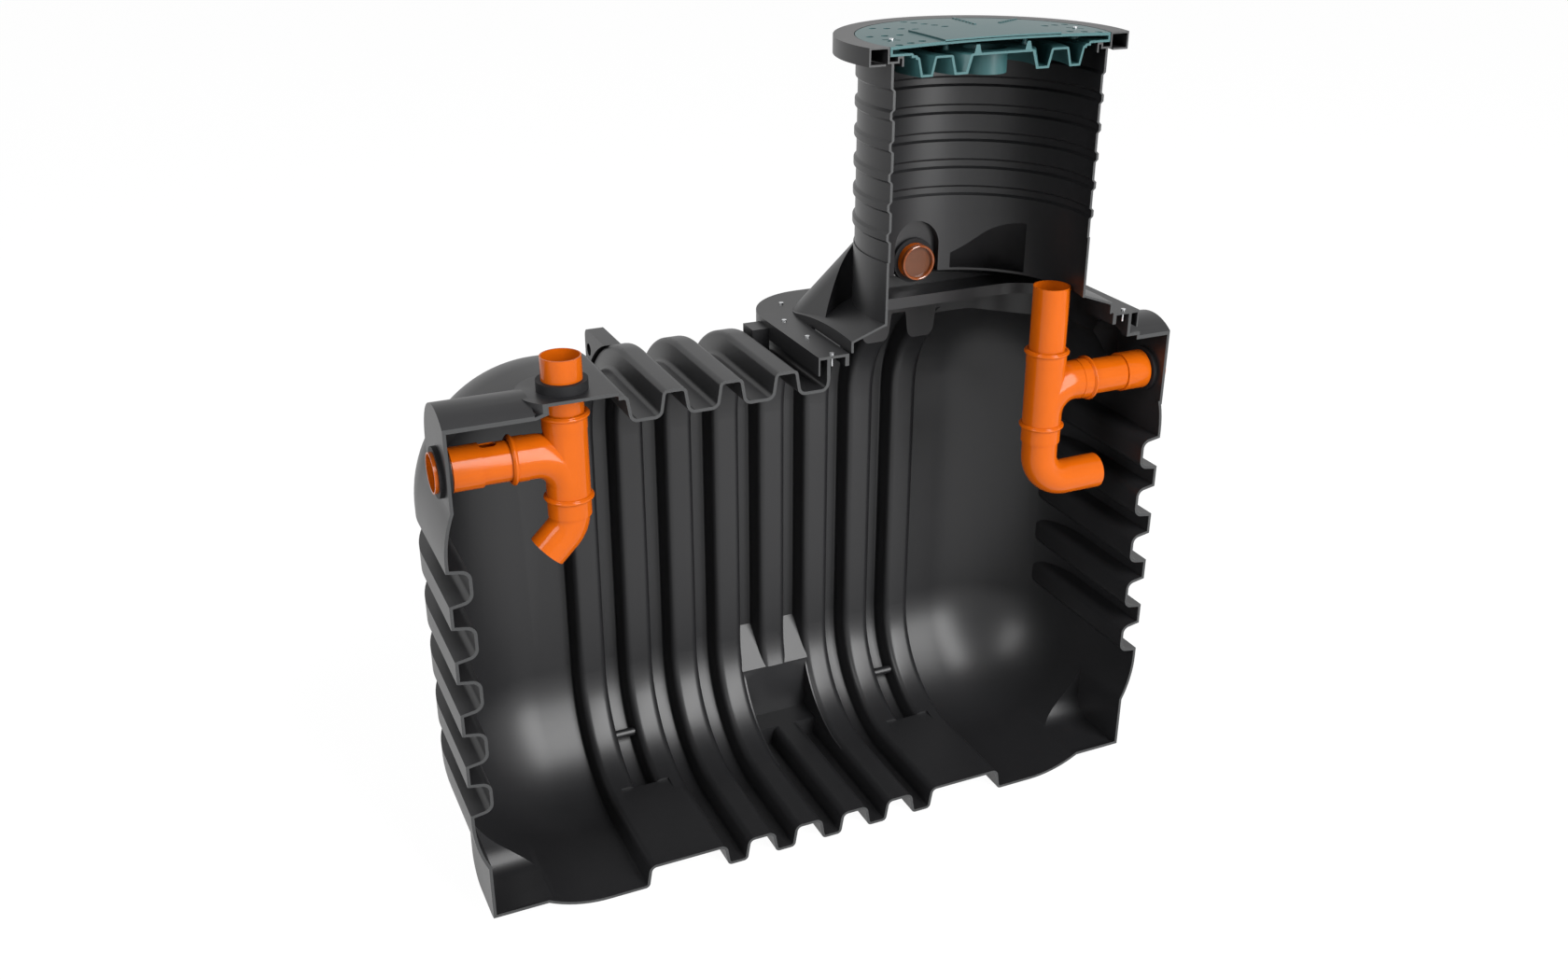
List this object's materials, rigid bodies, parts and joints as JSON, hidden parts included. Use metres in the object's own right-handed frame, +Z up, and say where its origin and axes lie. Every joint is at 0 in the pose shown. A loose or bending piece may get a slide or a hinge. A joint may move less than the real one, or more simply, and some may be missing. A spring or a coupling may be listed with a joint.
{
  "type": "sectioned septic tank",
  "caption": "Underground septic tank cut open lengthwise to show a ribbed moulded shell, orange inlet and outlet pipework, and an access shaft with a screwed lid",
  "frame": {"origin": "under the middle of the tank's length, on the upright plane through the pipes' axes, at the undersides of the floor ribs", "axes": "+X from the inlet to the outlet, +Y from the cut face into the tank, +Z up"},
  "size_m": [2.282, 0.723, 2.438],
  "materials": {
    "shell_black": "satin black moulded polyethylene, paler on cut faces",
    "screw_steel": "zinc screw",
    "pipe_orange": "glossy orange drain pipe",
    "seal_rubber": "black rubber",
    "lid_teal": "moulded teal lid",
    "vent_cap": "clear brown-orange cap"
  },
  "bodies": {
    "root": {"anchor_tubes": "shell_black", "banded_shaft": "shell_black", "cover_ring": "shell_black", "flange_screws": "screw_steel", "hooped_wall": "shell_black", "inlet_bend": "pipe_orange", "inlet_end": "shell_black", "inlet_pipe": "pipe_orange", "inlet_riser": "pipe_orange", "inlet_seal": "seal_rubber", "inlet_sleeve": "pipe_orange", "inlet_tee": "pipe_orange", "lid_pan": "lid_teal", "lid_plate": "lid_teal", "lid_screws": "screw_steel", "lifting_lugs": "shell_black", "neck_upstand": "shell_black", "outlet_bend": "pipe_orange", "outlet_end": "shell_black", "outlet_pipe": "pipe_orange", "outlet_riser": "pipe_orange", "outlet_seal": "seal_rubber", "outlet_sleeve": "pipe_orange", "outlet_tee": "pipe_orange", "riser_seal": "seal_rubber", "shaft_foot": "shell_black", "tank_floor": "shell_black", "tank_roof": "shell_black", "turret_flange": "shell_black", "turret_hopper": "shell_black", "vent_cap": "vent_cap", "vent_seal": "seal_rubber", "vent_stub": "pipe_orange"}
  },
  "joints": []
}
